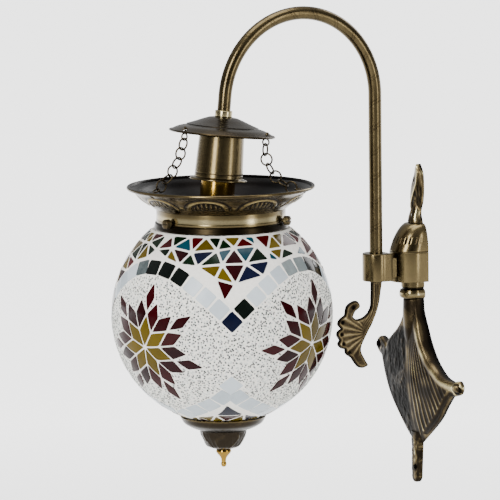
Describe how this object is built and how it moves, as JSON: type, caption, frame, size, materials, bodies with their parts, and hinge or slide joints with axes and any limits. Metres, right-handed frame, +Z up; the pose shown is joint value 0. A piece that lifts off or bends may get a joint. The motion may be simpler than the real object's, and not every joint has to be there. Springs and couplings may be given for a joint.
{
  "type": "mosaic glass wall lamp",
  "caption": "Wall lamp with a cast leaf bracket, swivelling gooseneck arm, chained canopy and gallery, and a mosaic glass globe.",
  "frame": {"origin": "midway between the two wall-screw holes, on the bracket's flat back", "axes": "+Z up the wall, the lamp stands out from the wall along -Y, +X to the right seen from the front"},
  "size_m": [0.1665, 0.2559, 0.371],
  "materials": {
    "antique_brass": "antiqued, brushed and lacquered",
    "dark_antique_brass": "antiqued dark, high spots rubbed back",
    "bright_brass": "polished",
    "steel_screw": "zinc plated",
    "terminal_nylon": "moulded",
    "lead_pvc": "extruded PVC",
    "ceramic_white": "glazed ceramic",
    "clear_glass": "blown, white lined",
    "mosaic_grout": "glass tiles and frit in white grout",
    "rubber_black": "moulded",
    "bulb_frosted": "frosted",
    "nickel_cap": "nickel plated"
  },
  "bodies": {
    "bracket": {"wall_plate": "dark_antique_brass", "neck_bead": "antique_brass", "bracket_boss": "antique_brass", "dome_cap": "antique_brass", "leaf_finial": "dark_antique_brass", "casting_screws": "steel_screw", "scroll_ornament": "dark_antique_brass", "collar_set_screw": "steel_screw", "terminal_block": "terminal_nylon", "terminal_screws": "steel_screw", "boss_lead": "lead_pvc"},
    "arm": {"arm_tube": "antique_brass", "arm_lead": "lead_pvc", "end_ring": "antique_brass", "canopy": "antique_brass", "lock_nuts": "steel_screw", "holder_cover": "antique_brass", "holder_shell": "bright_brass", "holder_insulator": "ceramic_white", "holder_contacts": "bright_brass", "shade_ring": "bright_brass", "gallery_dish": "dark_antique_brass", "fitter_ring": "antique_brass", "fitter_rivets": "bright_brass", "glass_globe": "clear_glass", "mosaic_skin": "mosaic_grout", "bottom_cap": "dark_antique_brass", "finial": "bright_brass", "finial_stud": "steel_screw", "globe_gasket": "rubber_black", "globe_washer": "steel_screw", "stud_nut": "steel_screw"},
    "bulb": {"bulb_glass": "bulb_frosted", "bulb_cap": "nickel_cap"},
    "thumbscrew_1": {"thumbscrew_1": "dark_antique_brass"},
    "chain_1": {"chain_1": "dark_antique_brass"},
    "thumbscrew_2": {"thumbscrew_2": "dark_antique_brass"},
    "chain_2": {"chain_2": "dark_antique_brass"},
    "thumbscrew_3": {"thumbscrew_3": "dark_antique_brass"},
    "chain_3": {"chain_3": "dark_antique_brass"}
  },
  "joints": [
    {"name": "arm_swivel", "type": "hinge", "parent": "bracket", "child": "arm", "pos_m": [0, -0.0375, 0], "axis": [0, 0, 1], "range_deg": [-60, 60]},
    {"name": "bulb_unscrew", "type": "slide", "parent": "arm", "child": "bulb", "axis": [0, -0.1045, -0.9945], "range_m": [0, 0.009]},
    {"name": "thumbscrew_1_travel", "type": "slide", "parent": "arm", "child": "thumbscrew_1", "axis": [0.1736, -0.9848, 0], "range_m": [0, 0.0025]},
    {"name": "chain_1_swing", "type": "hinge", "parent": "arm", "child": "chain_1", "pos_m": [0.00625, -0.20617, 0.1617], "axis": [0.0945, -0.5713, -0.8153], "range_deg": [-12, 12]},
    {"name": "thumbscrew_2_travel", "type": "slide", "parent": "arm", "child": "thumbscrew_2", "axis": [0.766, 0.6428, 0], "range_m": [0, 0.0025]},
    {"name": "chain_2_swing", "type": "hinge", "parent": "arm", "child": "chain_2", "pos_m": [0.02758, -0.1479, 0.15557], "axis": [0.4739, 0.364, -0.8018], "range_deg": [-12, 12]},
    {"name": "thumbscrew_3_travel", "type": "slide", "parent": "arm", "child": "thumbscrew_3", "axis": [-0.9397, 0.342, 0], "range_m": [0, 0.0025]},
    {"name": "chain_3_swing", "type": "hinge", "parent": "arm", "child": "chain_3", "pos_m": [-0.03383, -0.15867, 0.15671], "axis": [-0.5674, 0.1724, -0.8052], "range_deg": [-12, 12]}
  ]
}
